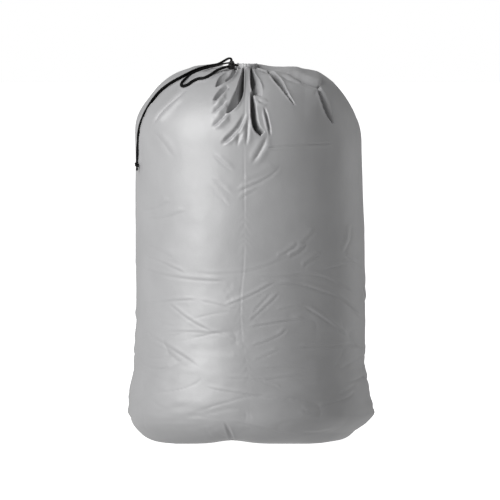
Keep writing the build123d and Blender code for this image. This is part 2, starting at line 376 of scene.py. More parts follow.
SHOULDER_BASE = 560.0
UPRIGHT_LOOP = (14, 23)         # the route's points that stand clear of the cloth
REAR_TAIL = lay_beside(FRONT_TAIL, REAR_TAIL).tolist()

tails = []
for name, route, length in (("drawcord_front_braid", FRONT_TAIL, FRONT_TAIL_LENGTH),
                            ("drawcord_rear_braid", REAR_TAIL, REAR_TAIL_LENGTH)):
    line = cord_line(name + "_line", route)
    tail = tubes(name, [line], SHOWN_RADIUS, CORD, around=16, braid=BRAID)
    tails.append((tail, line, length))
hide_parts("drawcord_tail_front")
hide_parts("drawcord_tail_rear")


# ---- knot in the tails: two wraps round the pair, one strand across, two cut ends -----
knot_low, knot_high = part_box("tail_knot")
knot_middle = [(knot_low[i] + knot_high[i]) / 2 / MM for i in range(3)]
knot_top = knot_high[2] / MM
WRAP_RADIUS = 2.9
WRAP_TURNS = 2.3
WRAP_HEIGHT = 8.0
KNOT_CORD_RADIUS = 1.45

t = np.linspace(0, 1, 90)
angle = 2 * math.pi * (WRAP_TURNS * t + 0.1)
pull_in = WRAP_RADIUS * (1 - 0.55 * (smooth((t - 0.9) / 0.1) + smooth((0.1 - t) / 0.1)))
coil = np.stack([knot_middle[0] + pull_in * np.cos(angle), knot_middle[1] + pull_in * np.sin(angle),
                 knot_top - 1.6 - WRAP_HEIGHT * t + 0.5 * np.sin(angle)], axis=1)
cut_ends = []
for side, splay in ((-1, -1.2), (1, 0.9)):
    t = np.linspace(0, 1, 20)
    cut_ends.append(np.stack([knot_middle[0] + splay * t ** 2 + 0.3,
                              knot_middle[1] + side * (1.55 + 0.5 * t),
                              knot_top - 9.0 - 7.8 * t], axis=1))
entries = []                    # the strands' last millimetres, from the tails down into the wraps
for side, (_, line, _) in zip((1, -1), tails):
    start = line[-1] + (0, 0, 1.8)
    finish = np.array((knot_middle[0], knot_middle[1] + side * 0.9, knot_top - 4.5))
    entries.append(start + (finish - start) * np.linspace(0, 1, 12)[:, None])
cross = np.linspace(0, 1, 40)
crossing = np.stack([knot_middle[0] - 3.1 * np.cos(2.6 * cross),
                     knot_middle[1] - 3.2 * np.sin(2.6 * cross + 0.3),
                     knot_top - 2.6 - 6.8 * cross], axis=1)
knot = tubes("tail_knot_wraps", [coil, crossing] + cut_ends + entries,
             KNOT_CORD_RADIUS, CORD, around=14, braid=BRAID)
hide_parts("tail_knot")


# ---- sack cloth ----------------------------------------------------------------------
NECK = (-6.0, -60.0)
DEPTH_RATIO = 0.9
SIDE_RADIUS = 229.0
SIDE_END = 600.0
SHOULDER_WIDTH = 164.0
SHOULDER_HEIGHT = 145.0
BULGE_RADIUS = 244.0
BULGE_HEIGHT = 75.0
BASE_RADIUS = 185.0
SIDE_START = 230.0
NECK_RING = 15.0                # where the cloth turns up into the casing
DOME_ROWS, SIDE_ROWS, HEEL_ROWS, BASE_ROWS = 150, 240, 34, 14
COLUMNS = 480
TURN_UP, TURN_UP_REACH = 5.0, 42.0   # how the gathered cloth rises to the casing
CLOTH = 0.7                     # thickness of the cloth
CLOTH_REST = 0.1                # gap left under the cloth where it rests
EDGE_LIFT = 6.0                 # how far the bottom's edge curls off the floor
NOISE_HEIGHT = 760.0            # height over which the random fields are laid once


def uneven_angles(count):
    """Angles round the sack, closer together on the front than behind."""
    even = np.linspace(-math.pi, math.pi, 2000)
    density = 1.0 + 1.3 * hump((even + math.pi / 2) / 0.9)
    total = np.concatenate([[0], np.cumsum((density[1:] + density[:-1]) / 2 * np.diff(even))])
    return np.interp(np.arange(count) * total[-1] / count, total, even)


angles = uneven_angles(COLUMNS)


def angle_from(turn):
    """How far round from that angle each column lies, between -pi and pi."""
    return (angles[None, :] - turn + math.pi) % (2 * math.pi) - math.pi


def side_radius_at(height):
    """Radius of the plain meridian below the shoulder."""
    t = np.clip((height - BULGE_HEIGHT) / (SIDE_START - BULGE_HEIGHT), 0, 1)
    return BULGE_RADIUS + (SIDE_RADIUS - BULGE_RADIUS) * smooth(t)


def base_column(angle):
    """Plain points of one column, from the neck to the middle of the bottom."""
    edge = np.array([SIDE_RADIUS * math.cos(angle), DEPTH_RATIO * SIDE_RADIUS * math.sin(angle)])
    neck = np.array(NECK)
    reach = np.linalg.norm(edge - neck)
    share = NECK_RING / reach + (1 - NECK_RING / reach) * np.sin(np.linspace(0, math.pi / 2, 500))
    plan = neck + (edge - neck) * share[:, None]
    r = np.hypot(plan[:, 0], plan[:, 1] / DEPTH_RATIO)
    out = np.clip((r - SIDE_RADIUS + SHOULDER_WIDTH) / SHOULDER_WIDTH, 0, 1)
    dome = np.column_stack([plan, SIDE_END + SHOULDER_HEIGHT * np.sqrt(1 - out ** 2)])
    arc = np.concatenate([[0], np.cumsum(np.linalg.norm(np.diff(dome, axis=0), axis=1))])
    wanted = arc[-1] * np.linspace(0, 1, DOME_ROWS) ** 1.15
    dome = np.column_stack([np.interp(wanted, arc, dome[:, k]) for k in range(3)])

    def rows(radius, height):
        across = (radius * math.cos(angle), DEPTH_RATIO * radius * math.sin(angle))
        return np.column_stack([*across, height])

    height = np.linspace(SIDE_END, BULGE_HEIGHT, SIDE_ROWS + 1)[1:]
    side = rows(side_radius_at(height), height)
    swing = np.linspace(0, math.pi / 2, HEEL_ROWS + 1)[1:]
    heel = rows(BASE_RADIUS + (BULGE_RADIUS - BASE_RADIUS) * np.cos(swing),
                BULGE_HEIGHT * (1 - np.sin(swing)))
    radius = BASE_RADIUS * np.linspace(1, 0.01, BASE_ROWS + 1)[1:]
    return np.vstack([dome, side, heel, rows(radius, 0 * radius)])


base = np.stack([base_column(a) for a in angles], axis=1)      # rows, columns, xyz
ROWS = base.shape[0]
column_step = np.roll(base, -1, axis=1) - np.roll(base, 1, axis=1)
normals = unit(np.cross(np.gradient(base, axis=0), column_step))    # outwards
X, Y, Z = base[:, :, 0], base[:, :, 1], base[:, :, 2]
arc_down = np.concatenate([np.zeros((1, COLUMNS)),
                           np.cumsum(np.linalg.norm(np.diff(base, axis=0), axis=2), axis=0)])
ring_step = np.linalg.norm(np.roll(base, -1, axis=1) - base, axis=2)
angle_step = (np.roll(angles, -1) - angles) % (2 * math.pi)
mm_per_radian = ring_step / angle_step[None, :]
around = (angles[None, :] + math.pi) / (2 * math.pi) + 0 * Z    # 0 to 1 round the sack
front = smooth((-Y - 40) / 45)                                  # 1 on the side that faces front
front_wide = smooth((-Y - 25) / 30)                             # the same, further round
up = Z / NOISE_HEIGHT

push = np.zeros_like(Z)                                         # along the normal, outwards
slide = np.zeros_like(base)                                     # along the surface


def field(cells_across, cells_up, seed, across=around, up=up):
    """Smooth random field between -1 and 1, laid round the sack and up it."""
    table = np.random.default_rng(seed).uniform(-1, 1, (cells_up + 3, cells_across))
    x, y = across * cells_across, up * cells_up
    xi, yi = np.floor(x).astype(int), np.clip(np.floor(y).astype(int), 0, cells_up + 1)
    fx, fy = smooth(x - xi), smooth(y - yi)
    left, right = xi % cells_across, (xi + 1) % cells_across
    low, high = (table[row, left] * (1 - fx) + table[row, right] * fx for row in (yi, yi + 1))
    return low * (1 - fy) + high * fy


def polyline_distance(points):
    """Distance to a polyline in the front view, which side of it, and how far along it."""
    best = np.full_like(X, 1e9)
    sign, where = np.zeros_like(X), np.zeros_like(X)
    lengths = [math.dist(a, b) for a, b in zip(points, points[1:])]
    total = sum(lengths)
    done = 0.0
    for (x0, z0), (x1, z1), length in zip(points, points[1:], lengths):
        dx, dz = (x1 - x0) / length, (z1 - z0) / length
        along = (X - x0) * dx + (Z - z0) * dz
        clipped = np.clip(along, 0, length)
        off_x, off_z = X - x0 - clipped * dx, Z - z0 - clipped * dz
        distance = np.hypot(off_x, off_z)
        nearer = distance < best
        best = np.where(nearer, distance, best)
        sign = np.where(nearer, np.sign(dx * off_z - dz * off_x), sign)
        where = np.where(nearer, (done + clipped) / total, where)
        done += length
    return best, sign, where


def rounded(points, times=3):
    """Corner-cutting, so that a fold has no kinks."""
    for _ in range(times):
        cut = [points[0]]
        for (x0, z0), (x1, z1) in zip(points, points[1:]):
            cut += [((1 - t) * x0 + t * x1, (1 - t) * z0 + t * z1) for t in (0.25, 0.75)]
        points = cut + [points[-1]]
    return points


def along_line(points, half_width, taper):
    """Distance, distance over width, side, and how strongly each point belongs to the line."""
    distance, sign, where = polyline_distance(rounded(points))
    ends = smooth(where / max(taper[0], 1e-3)) * smooth((1 - where) / max(taper[1], 1e-3))
    width = half_width * (0.6 + 0.4 * ends)
    return distance, distance / width, sign, ends, width


def tuck(points, depth, half_width, side=0, lip=0.30, taper=(0.2, 0.35)):
    """A deep pocket in gathered cloth: steep walls and a raised lip that leans over it.

    side -1 or 1 raises the lip on that side of the line only.
    """
    distance, s, sign, ends, width = along_line(points, half_width, taper)
    pocket = -(1 - smooth((s - 0.15) / 0.95))
    rise = hump((s - 1.25) / 0.38)
    if side:
        rise = rise * np.where(sign == side, 1.5, 0.2)
    push[:] += ends * front * depth * (pocket + rise * lip)
    lean = ends * front * hump((s - 1.0) / 0.5) * 0.3 * width
    if side:
        lean = lean * np.where(sign == side, 1.7, 0.3)
    across_line = np.gradient(distance, axis=1)
    slide[:] -= unit(column_step) * (lean * np.sign(across_line) * min(1.0, depth / 8))[:, :, None]


def crease(points, depth, half_width, side=0, taper=(0.35, 0.35)):
    """A sharp line where two soft swellings of cloth meet; side says which one is fuller."""
    _, s, sign, ends, _ = along_line(points, half_width, taper)
    swell = hump((s - 0.9) / 0.75)
    if side:
        swell = swell * np.where(sign == side, 1.3, 0.35)
    push[:] += ends * smooth((-Y - 10) / 40) * depth * (0.75 * swell - np.exp(-2.6 * s))


def inside_outline(outline):
    """True where a point of the front view lies within the closed outline."""
    within = np.zeros(X.shape, bool)
    for (x0, z0), (x1, z1) in zip(outline, outline[1:] + outline[:1]):
        if z0 == z1:
            continue
        crosses = (z0 > Z) != (z1 > Z)
        within ^= crosses & (X < x0 + (Z - z0) * (x1 - x0) / (z1 - z0))
    return within


def pocket(gentle, steep, depth, rim=2.2, soft_rim=0.0, wall=2.0, sharp=1.2):
    """A pleat's mouth between two edges, both drawn from the neck to the tip.

    The cloth sinks from the gentle edge and comes straight back up at the steep one,
    where it ends in a thin raised rim.
    """
    gentle, steep = rounded(gentle, 2), rounded(steep, 2)
    off_gentle, _, _ = polyline_distance(gentle)
    off_steep, _, where = polyline_distance(steep)
    across = off_gentle + off_steep
    within = inside_outline(gentle + steep[::-1])
    share = off_gentle / np.maximum(across, 1e-6)
    sunk = share ** sharp * smooth(off_steep / wall) * smooth(across / 7)
    push[:] -= within * front_wide * depth * sunk
    fade = smooth(where / 0.12) * smooth((1 - where) / 0.25)
    push[:] += ~within * front_wide * fade * rim * np.exp(-(off_steep / 2.6) ** 1.5)
    push[:] += ~within * front_wide * fade * soft_rim * hump(off_gentle / 3.0)


# Pleats that open out below the neck, as edges in the front view: (x, z) in millimetres.
pocket([(-25, 746), (-35, 741), (-50, 739), (-63, 729), (-68, 710)],
       [(-24, 744), (-30, 731), (-39, 721), (-53, 713), (-68, 708)], 20, rim=2.6, sharp=0.7)
pocket([(-46, 712), (-56, 708), (-68, 694), (-73, 684)],
       [(-42, 708), (-52, 697), (-62, 687), (-72, 682)], 14, rim=1.6, sharp=0.8)
pocket([(-14, 746), (-20, 729), (-26, 708), (-37, 686), (-46, 660)],
       [(-11, 746), (-11, 718), (-13, 696), (-20, 678), (-31, 665), (-44, 658)],
       28, rim=2.6, sharp=0.8)
pocket([(2, 746), (12, 734), (20, 720), (24, 706), (24, 692)],
       [(0, 746), (0, 729), (1, 711), (6, 694)], 22, rim=1.2, soft_rim=2.2, sharp=0.9)
pocket([(5, 700), (12, 675), (14, 650), (19, 632), (28, 622)],
       [(1, 698), (1, 675), (2, 646), (7, 624), (20, 614)], 30, rim=1.8, sharp=0.6)
pocket([(34, 743), (46, 723), (59, 709), (69, 696), (80, 682), (90, 671)],
       [(38, 743), (51, 737), (64, 723), (73, 703), (80, 690), (91, 673)],
       22, rim=1.6, soft_rim=1.4, sharp=0.8)
pocket([(139, 706), (151, 690), (165, 664), (172, 639)],
       [(134, 704), (142, 677), (153, 653), (170, 635)], 21, rim=1.8, wall=2.5, sharp=0.8)
# The darkest parts of the same pleats, where the folds all but close.
CLEFTS = [
    ([(-14, 743), (-19, 728), (-24, 708), (-25, 694), (-22, 680)],
     [(-11, 743), (-12, 716), (-13, 694), (-19, 680)], 22),
    ([(4, 744), (11, 730), (12, 722)], [(0, 744), (0, 728), (2, 714)], 16),
    ([(5, 696), (10, 672), (11, 650), (15, 634)], [(1, 696), (1, 672), (3, 646), (10, 626)], 14),
    ([(40, 735), (52, 722), (63, 708), (73, 692), (86, 676)],
     [(40, 741), (53, 734), (65, 720), (74, 700), (87, 678)], 20),
    ([(140, 696), (150, 676), (160, 656), (166, 644)],
     [(136, 696), (144, 673), (154, 653), (164, 641)], 22),
    ([(-30, 744), (-40, 738), (-50, 731)], [(-26, 741), (-33, 730), (-44, 722)], 10),
]
for gentle, steep, depth in CLEFTS:
    pocket(gentle, steep, depth, rim=0.0, wall=1.2, sharp=0.25)
tuck([(-8, 662), (-16, 640), (-30, 619), (-58, 596)], 6, 7, side=1, taper=(0.4, 0.25))
tuck([(28, 672), (33, 650), (42, 610)], 5, 4, side=-1, taper=(0.3, 0.4))
# Creases of the shoulders and the upper half: line, depth, half width, fuller side, taper.
CREASES = [
    ([(62, 738), (84, 731), (112, 716), (138, 703)], 6, 9, 1, (0.4, 0.05)),
    ([(60, 732), (80, 722), (104, 712)], 3, 8, 1),
    ([(14, 686), (22, 679), (36, 678)], 2, 5, 0),
    ([(58, 750), (90, 747), (120, 740), (146, 730), (168, 716)], 3.2, 5, 1, (0.2, 0.2)),
    ([(120, 746), (140, 735), (160, 722), (178, 706)], 3.0, 11, 1),
    ([(-44, 684), (-58, 672), (-76, 656)], 5, 8, 1),
    ([(-42, 662), (-56, 648), (-76, 629)], 5, 8, 1),
    ([(-48, 702), (-60, 692), (-74, 674)], 4, 7, 1),
    ([(-122, 706), (-148, 683), (-170, 659), (-186, 634)], 3.4, 7, 1, (0.3, 0.2)),
    ([(-140, 684), (-164, 656), (-182, 640)], 1.2, 7, 0),
    ([(-14, 640), (-22, 612), (-26, 590)], 2.0, 7, 0),
    ([(-4, 650), (-5, 620), (-8, 590)], 2.0, 6, 0),
    ([(36, 618), (26, 594), (12, 570), (0, 556)], 2.4, 9, 0),
    ([(-76, 580), (-52, 557), (-30, 541)], 1.0, 7, 1),
    ([(-80, 535), (-56, 514), (-34, 494)], 0.6, 7, 1),
    ([(-84, 517), (-62, 497), (-38, 470)], 0.5, 7, 1),
    ([(-28, 502), (6, 515), (32, 529), (48, 540), (62, 555)], 1.25, 7, 1, (0.2, 0.2)),
    ([(-26, 484), (-4, 498), (22, 512)], 0.7, 7, 1),
    ([(-192, 627), (-175, 606), (-160, 585), (-148, 568)], 0.9, 9, 1),
    ([(26, 590), (90, 594), (156, 597), (178, 599)], 1.7, 3.5, 0, (0.1, 0.2)),
]
for fold in CREASES:
    crease(*fold)

push *= np.where(push > 0, smooth((arc_down - 3) / 26), 1.0)    # no lip stands above the neck

# Pleats all round the neck, fading down the shoulder.
PLEATS = 30
pleat_rng = np.random.default_rng(11)
turns = (np.arange(PLEATS) + pleat_rng.uniform(-0.32, 0.32, PLEATS)) * 2 * math.pi / PLEATS - math.pi
for turn in turns:
    reach = pleat_rng.uniform(70, 230)
    depth = pleat_rng.uniform(5, 11)
    drift = pleat_rng.uniform(-0.12, 0.12)
    facing_front = math.exp(-((turn + math.pi / 2) / 0.75) ** 2)
    depth *= 1 - 0.75 * facing_front
    reach *= 1 - 0.45 * facing_front
    share = np.clip(arc_down / reach, 0, 1)
    centre = turn + drift * share
    lateral = angle_from(centre) * mm_per_radian
    width = 2.2 + 15.0 * share ** 0.8 + 3.0 * smooth(arc_down / 60)
    s = np.abs(lateral) / width
    fade = (1 - share) ** 0.9 * smooth(arc_down / 10 + 0.25)
    push += fade * depth * (-hump(1.3 * s) + 0.4 * hump((s - 1.4) / 0.6))

# Folds of the lower half, where the cloth settles: long thin lines, the cloth above each one
# a little fuller. Depths in millimetres.
DEEP, MIDDLE, FAINT = 1.0, 0.7, 0.45
SETTLED = [
    ([(-212, 375), (-183, 365), (-147, 349), (-127, 341)], DEEP, 5),
    ([(-224, 354), (-194, 341), (-158, 334), (-117, 329), (-81, 327), (-45, 326)], DEEP, 6),
    ([(-117, 347), (-81, 339), (-45, 341), (-9, 344), (37, 357), (68, 372), (104, 388)], FAINT, 6),
    ([(-224, 277), (-188, 280), (-163, 285), (-132, 288), (-101, 289)], DEEP, 5),
    ([(-101, 288), (-76, 283), (-45, 275), (-24, 269)], MIDDLE, 5),
    ([(-165, 283), (-142, 265), (-117, 247), (-86, 231), (-70, 226)], DEEP, 5),
    ([(-172, 224), (-132, 226), (-96, 225), (-60, 224), (-40, 216), (-30, 211)], MIDDLE, 4.5),
    ([(-224, 236), (-201, 221), (-173, 203), (-142, 183), (-117, 167), (-94, 152)], DEEP, 6),
    ([(-200, 200), (-173, 193), (-156, 178), (-138, 162), (-116, 152)], FAINT, 6),
    ([(-226, 165), (-209, 154), (-183, 149), (-153, 152)], DEEP, 6),
    ([(-228, 154), (-204, 136), (-173, 131)], MIDDLE, 6),
    ([(-96, 121), (-65, 111), (-24, 106), (17, 99), (58, 95), (99, 89)], DEEP, 5),
    ([(-55, 136), (-19, 134), (22, 130), (47, 134), (83, 139), (112, 135)], MIDDLE, 5),
    ([(22, 129), (42, 123), (60, 115)], MIDDLE, 4.5),
    ([(-205, 46), (-183, 47), (-147, 49), (-112, 48), (-81, 49)], FAINT, 5),
    ([(-130, 62), (-96, 59), (-50, 54)], FAINT, 6),
    ([(-45, 49), (-19, 44), (6, 38), (37, 29), (68, 21), (99, 18)], MIDDLE, 5),
    ([(-55, 275), (-35, 282), (-9, 293), (17, 306), (37, 318), (53, 324)], DEEP, 5),
    ([(44, 316), (60, 320), (78, 321), (109, 318), (140, 306), (171, 295), (196, 275), (217, 254),
      (227, 239)], DEEP, 5),
    ([(-4, 336), (37, 334), (68, 334), (109, 339), (140, 336), (176, 318), (201, 303), (222, 285)],
     MIDDLE, 5.5),
    ([(128, 346), (150, 349), (171, 354), (191, 359), (212, 347), (227, 331)], FAINT, 6),
    ([(186, 374), (202, 366), (217, 357)], MIDDLE, 6),
    ([(-4, 244), (22, 267), (47, 290), (60, 305)], MIDDLE, 5),
    ([(4, 262), (24, 284), (42, 304)], FAINT, 5),
    ([(-6, 234), (27, 240), (68, 247), (112, 250)], DEEP, 5),
    ([(105, 277), (130, 262), (150, 247), (171, 231), (193, 211)], DEEP, 5),
    ([(50, 266), (78, 274), (112, 277)], FAINT, 5),
    ([(0, 197), (22, 203), (42, 211), (63, 221), (75, 236)], MIDDLE, 5),
    ([(92, 195), (140, 196), (176, 197), (203, 201)], MIDDLE, 4.5),
    ([(4, 166), (37, 182), (60, 191)], FAINT, 5),
    ([(4, 152), (58, 157), (109, 154), (145, 150)], FAINT, 4.5),
    ([(135, 75), (171, 85), (196, 92), (214, 107)], MIDDLE, 6),
    ([(176, 100), (200, 108), (216, 122)], FAINT, 6),
    ([(99, 75), (119, 67), (145, 65)], MIDDLE, 5),
    ([(90, 63), (116, 56), (134, 52)], FAINT, 5),
    ([(104, 23), (140, 21), (176, 27)], MIDDLE, 6),
    ([(52, 371), (73, 382), (97, 400)], MIDDLE, 6),
    ([(76, 371), (99, 383), (114, 398)], DEEP, 7),
    ([(104, 352), (119, 365), (142, 379)], MIDDLE, 7),
    ([(96, 392), (118, 412), (132, 430)], FAINT, 7),
    ([(184, 380), (192, 392), (200, 410), (204, 440)], MIDDLE, 7),
    ([(-214, 462), (-184, 468), (-156, 484)], 1.6, 9),
    ([(-208, 445), (-164, 450), (-126, 465)], 1.3, 8),
    ([(-14, 520), (20, 532), (54, 552)], MIDDLE, 9),
    ([(-214, 402), (-180, 384), (-150, 370)], MIDDLE, 8),
    ([(-92, 38), (-82, 20), (-74, 6)], MIDDLE, 5),
    ([(-74, 28), (-56, 12), (-46, 4)], MIDDLE, 4.5),
]
strength = 0.6 + 0.75 * smooth((X + 90) / 160)
for points, depth, half_width in SETTLED:
    crease(points, depth * strength, half_width, side=1, taper=(0.16, 0.16))

# The same kinds of fold round the sides and back, placed at random.
BACK_FOLDS, BACK_FOLD_WIDTH, BACK_FOLD_BOW = 30, 11, 16
back_rng = np.random.default_rng(23)
for k in range(BACK_FOLDS):
    turn = (math.pi + 0.3) * (k + back_rng.uniform(0, 1)) / BACK_FOLDS - 0.15
    height = back_rng.uniform(40, 430)
    span = back_rng.uniform(0.15, 0.42)
    rise = back_rng.uniform(-38, 38)
    depth = back_rng.uniform(1.6, 3.4) * (1.0 if height < 300 else 0.7)
    along = angle_from(turn) / span
    line = height + rise * along + BACK_FOLD_BOW * along ** 2 * back_rng.choice((-1, 1))
    s = (Z - line) / BACK_FOLD_WIDTH
    ends = smooth(1.5 - np.abs(along) * 1.5)
    push += ends * depth * (0.8 * hump((s - 0.9) / 0.75) - np.exp(-2.6 * np.abs(s))) * (Z < 560)

# Slow unevenness of cloth over soft contents.
body_only = smooth((Z - 4) / 60)
push += body_only * (1.8 * field(9, 5, 1) + 0.9 * field(17, 12, 2))
lower = smooth((330 - Z) / 160) * body_only
push += lower * (1.2 * field(14, 26, 3) + 0.5 * field(40, 60, 4))
push += 0.25 * body_only * field(60, 30, 5)
drift_up = 0.03 * field(8, 6, 12)
for cells_across, cells_up, depth, seed in ((11, 22, 1.5, 13), (19, 34, 1.1, 14)):
    lines = field(cells_across, cells_up, seed, (around + 0.35 * drift_up) % 1.0, up + drift_up)
    patches = smooth(0.5 + 1.6 * field(9, 9, seed + 20))
    push -= lower * patches * depth * np.exp(-9 * np.abs(lines))

# The outline's own quirks: fuller crown, slanting right shoulder, narrower bottom corners.
CROWN = [(-229, 0), (-205, 6), (-185, 11), (-160, 12), (-110, 12), (-64, 6), (-30, 1), (0, 0), (52, 1),
         (84, 2), (110, 3), (135, 7), (165, 5), (188, -2), (204, -8), (216, -10), (229, 0)]
crown_x, crown_lift = zip(*CROWN)
lift = np.interp(X, crown_x, crown_lift) * smooth((Z - 580) / 90)
lift = np.where((X < 0) & (lift > 0), lift * smooth((Y + 40) / 52), lift)
slide[:, :, 2] += lift * smooth((arc_down - 10) / 50)           # none at the neck
right = smooth(np.cos(angles) * 2 - 0.6)[None, :]
left = smooth(-np.cos(angles) * 2 - 0.6)[None, :]
ALONG_RIGHT = [(0, -10), (4, -12), (11, -14), (19, -15), (35, -5), (48, 0), (57, 2), (70, 0), (83, -3),
               (100, -4), (131, -6), (160, -6), (190, 1), (400, 1), (480, -2), (560, -5), (612, -7),
               (640, -8), (665, -2), (700, -1), (745, 0)]
ALONG_LEFT = [(0, -6), (10, -4), (19, -4), (35, -2), (60, 0), (100, 0), (150, -3), (180, 0), (213, 3),
              (250, 0), (560, 1), (615, 3), (640, 8), (664, 8), (680, 2), (745, 0)]
radius_here = np.hypot(X, Y / DEPTH_RATIO)
share_out = np.minimum(1, radius_here / BASE_RADIUS)
SHOULDER_SOFTNESS = 12.0        # millimetres over which the outline's corners are rounded off
shifts = np.linspace(-3, 3, 61)
bell = np.exp(-shifts ** 2 / 2)
bell /= bell.sum()
for weights, outline, way in ((right, ALONG_RIGHT, 1), (left, ALONG_LEFT, -1)):
    heights, moves = zip(*outline)
    sharp_moves = np.interp(Z, heights, moves)
    soft_moves = sum(share * np.interp(Z + shift * SHOULDER_SOFTNESS, heights, moves)
                     for share, shift in zip(bell, shifts))
    upper = smooth((Z - 420) / 120)
    slide[:, :, 0] += way * weights * (sharp_moves + (soft_moves - sharp_moves) * upper) * share_out

# Each end of the bottom seam stands out as a small corner, the right one pointed: way, angle,
# height, half sizes across and up, how pointed across and up, and how far it stands out.
CORNERS = [(1, 0.0, 57, 34, 24, 1.3, 1.2, 5.0), (-1, math.pi, 40, 40, 26, 1.5, 1.4, 2.0)]
for way, turn, height, across, tall, sharp_across, sharp_tall, reach in CORNERS:
    aside = np.abs(angle_from(turn) * SIDE_RADIUS / across) ** sharp_across
    corner = np.exp(-aside) * np.exp(-np.abs((Z - height) / tall) ** sharp_tall)
    slide[:, :, 0] += way * reach * corner * (Z > 1)

# The long front seam: a narrow line with puckers beside it.
SEAM = [(0, 0), (0, 110), (-3, 140), (-9, 175), (-16, 215), (-19, 260), (-18, 305), (-13, 350),
        (-11, 400), (-12, 600), (-8, 745)]
seam_x, seam_z = zip(*SEAM)
PUCKER, PUCKER_LENGTH = 0.16, 17.0
CRUSH = 0.45                    # small puckers beside the seam where the folds meet it
CRUSHED_AT = ((300, 30, 1.0), (205, 26, 1.0), (30, 22, 0.6))    # height, spread, share
from_seam = X - np.interp(Z, seam_z, seam_x)
wave = np.sin((Z + 1.2 * np.abs(from_seam)) * 2 * math.pi / PUCKER_LENGTH + 4 * field(6, 40, 8))
patches = smooth(1.6 * field(4, 16, 9, across=np.full_like(up, 0.3)) - 0.1)
pucker = PUCKER * wave * hump(from_seam / 11) * patches
seam_depth = 0.25 + 0.75 * smooth(0.5 + field(3, 9, 16, across=np.full_like(up, 0.6)))
groove = -0.8 * hump(from_seam / 1.9) + 0.35 * hump((from_seam - 3.8) / 1.9)
crushed = sum(share * hump((Z - height) / tall) for height, tall, share in CRUSHED_AT)
crushed *= hump((from_seam + 12) / 22) * field(180, 104, 31)
push += front * smooth((Z - 3) / 10) * smooth((725 - Z) / 30) * (
    pucker + 0.5 * seam_depth * groove + CRUSH * crushed)

# The bottom seam, seen from below, and the pucker at the front of the bottom.
on_base = smooth((6 - Z) / 5)
push += -on_base * 1.6 * hump(Y / 3.5) * (np.abs(X) < 178)
push += -on_base * 0.6 * (1 + np.sin(X * 2 * math.pi / 15)) * hump(Y / 16)
tuck([(-52, 50), (-45, 34), (-39, 14), (-34, -6)], 2.2, 5, taper=(0.4, 0.01))

cloth = base + normals * push[:, :, None] + slide


def lay_under_cords(reach_below=1.9, dip=3.0, spread=6.0, highest_gap=2.0, furthest=22.0):
    """Moves the cloth so that each tail lies on it and nowhere inside it."""
    samples = []
    for _, line, _ in tails:
        upright = (line[:, 0] > -64) & (line[:, 2] > 752)       # the loop, clear of the cloth
        samples += line[~upright][::3].tolist()
    tree = KDTree(len(samples))
    for i, place in enumerate(samples):
        tree.insert(place, i)
    tree.balance()
    near = np.argwhere((X < -25) & (Z > 530) & (Y < 10) & (Y > -135))
    for i, j in near:
        spot, _, gap = tree.find(cloth[i, j])
        if gap > furthest:
            continue
        away = np.array(spot) - cloth[i, j]
        out = normals[i, j]
        height = away.dot(out)
        aside = math.sqrt(max(0.0, away.dot(away) - height * height))
        move = height - reach_below
        if move < 0:
            weight = math.exp(-(max(0.0, aside - dip) / spread) ** 2)
        else:
            weight = math.exp(-(aside / spread) ** 2)
            move = min(move, highest_gap)
        cloth[i, j] += out * move * weight


def clear_of_lock(gap=0.9, margin=1.0, fade=5.0):
    """Presses the cloth down under the lock, all the way that the lock can slide."""
    from_lock = cloth - LOCK_CENTRE
    travel = np.clip(from_lock @ LOCK_WAY, 0, LOCK_TRAVEL)
    from_lock -= travel[:, :, None] * LOCK_WAY
    height = from_lock @ LOCK_AXIS
    aside = np.linalg.norm(from_lock - height[:, :, None] * LOCK_AXIS, axis=2)
    above = height + LOCK_BELOW + gap
    press = np.where((above > 0) & (height < LOCK_BELOW), above, 0)
    press *= 1 - smooth((aside - LOCK_RADIUS - margin) / fade)
    cloth[:] -= press[:, :, None] * LOCK_AXIS


for _ in range(2):
    lay_under_cords()
clear_of_lock()

# Nothing reaches below the floor, and round the base the cloth's edge curls up from it.
cloth[:, :, 2] = np.maximum(cloth[:, :, 2], CLOTH_REST)
curl = np.minimum(smooth((np.abs(Y) - 95) / 70) + 0.6 * smooth((X - 120) / 70), 1.0)
curl += 1.1 * smooth((90 - Y) / 140) * hump((X + 36) / 38)
cloth[:, :, 2] += curl * EDGE_LIFT * smooth((60 - Z) / 60)

# The top edge turns up inside the casing.
turn_up = smooth((TURN_UP_REACH - arc_down) / TURN_UP_REACH)
cloth[:, :, 2] += TURN_UP * turn_up

outer = cloth.reshape(-1, 3)
faces = grid_faces(ROWS, COLUMNS, True)
outer = np.vstack([outer, cloth[-1].mean(axis=0)[None, :]])
pole = len(outer) - 1
last = (ROWS - 1) * COLUMNS
faces += [(last + j, pole, last + (j + 1) % COLUMNS) for j in range(COLUMNS)]
sack = make_mesh("sack_cloth", outer, faces, NYLON)
thicken(sack, CLOTH, INWARDS)
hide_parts("sack_body")


# ---- turned-in seam edges and their thread, inside the sack ---------------------------
SEAM_FIRST_ROW, SEAM_LAST_ROW = 14, DOME_ROWS + SIDE_ROWS + 16
SEAM_OFFSETS = (-5.5, -3.5, -1.5, 0.5, 2.5, 4.5, 6.0)           # across the turned-in edges
SEAM_INSET = 2.0                # how far inside the cloth they lie
seam_points = []
for i in range(SEAM_FIRST_ROW, SEAM_LAST_ROW):
    facing = np.flatnonzero(Y[i] < -40)
    order = facing[np.argsort(X[i][facing])]
    xs = X[i][order]
    for offset in SEAM_OFFSETS:
        target = np.interp(Z[i, 0], seam_z, seam_x) + offset
        place, inwards = (np.array([np.interp(target, xs, grid[i, order, k]) for k in range(3)])
                          for grid in (cloth, -normals))
        seam_points.append(place + inwards * SEAM_INSET)
seam_edges = make_mesh("front_seam_edges", seam_points, grid_faces(
    SEAM_LAST_ROW - SEAM_FIRST_ROW, len(SEAM_OFFSETS), False), NYLON)
thicken(seam_edges, 0.8)
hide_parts("front_seam_allowance")
